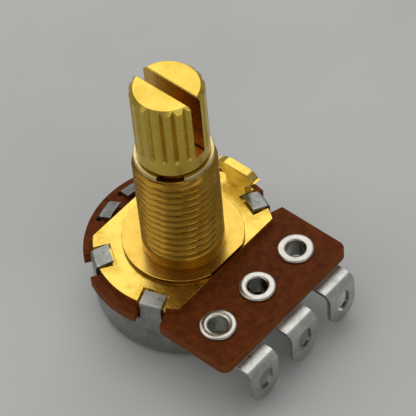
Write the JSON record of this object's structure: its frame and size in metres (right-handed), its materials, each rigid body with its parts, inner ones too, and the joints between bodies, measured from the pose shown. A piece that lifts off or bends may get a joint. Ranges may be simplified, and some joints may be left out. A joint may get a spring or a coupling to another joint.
{
  "type": "rotary potentiometer",
  "caption": "Round panel potentiometer with a threaded bushing, a knurled split shaft, a brown terminal board with eyeletted solder lugs and a folded-tab steel can.",
  "frame": {"origin": "on the shaft axis in the mounting face, the raised seat that the panel bears on", "axes": "+Z out along the shaft, -Y towards the solder lugs, +X towards the locating lug"},
  "size_m": [0.017, 0.0214, 0.0249],
  "materials": {
    "gilt_plate": "bright yellow passivated sheet",
    "gilt_bushing": "turned brass",
    "gilt_shaft": "turned and knurled brass",
    "phenolic": "dark brown laminated paper board, semi-matt",
    "carbon": "matt black print",
    "silver_print": "matt silver print",
    "tinned_terminal": "tinned",
    "bright_eyelet": "bright tinned brass",
    "tinned_can": "tinned steel sheet",
    "ring_steel": "spring steel, lightly oiled",
    "rotor_plastic": "natural moulded plastic",
    "spring_bronze": "thin spring bronze"
  },
  "bodies": {
    "housing": {"front_plate": "gilt_plate", "threaded_bushing": "gilt_bushing", "terminal_board": "phenolic", "carbon_track": "carbon", "collector_print": "silver_print", "end_print_left": "silver_print", "end_print_right": "silver_print", "terminal_left": "tinned_terminal", "terminal_middle": "tinned_terminal", "terminal_right": "tinned_terminal", "eyelet_left": "bright_eyelet", "eyelet_middle": "bright_eyelet", "eyelet_right": "bright_eyelet", "rear_can": "tinned_can"},
    "spindle": {"shaft": "gilt_shaft", "retaining_ring": "ring_steel", "rotor": "rotor_plastic", "wiper": "spring_bronze"}
  },
  "joints": [
    {"name": "shaft_turn", "type": "hinge", "parent": "housing", "child": "spindle", "pos_m": [0, 0, 0], "axis": [0, 0, 1], "range_deg": [-150, 150]}
  ]
}
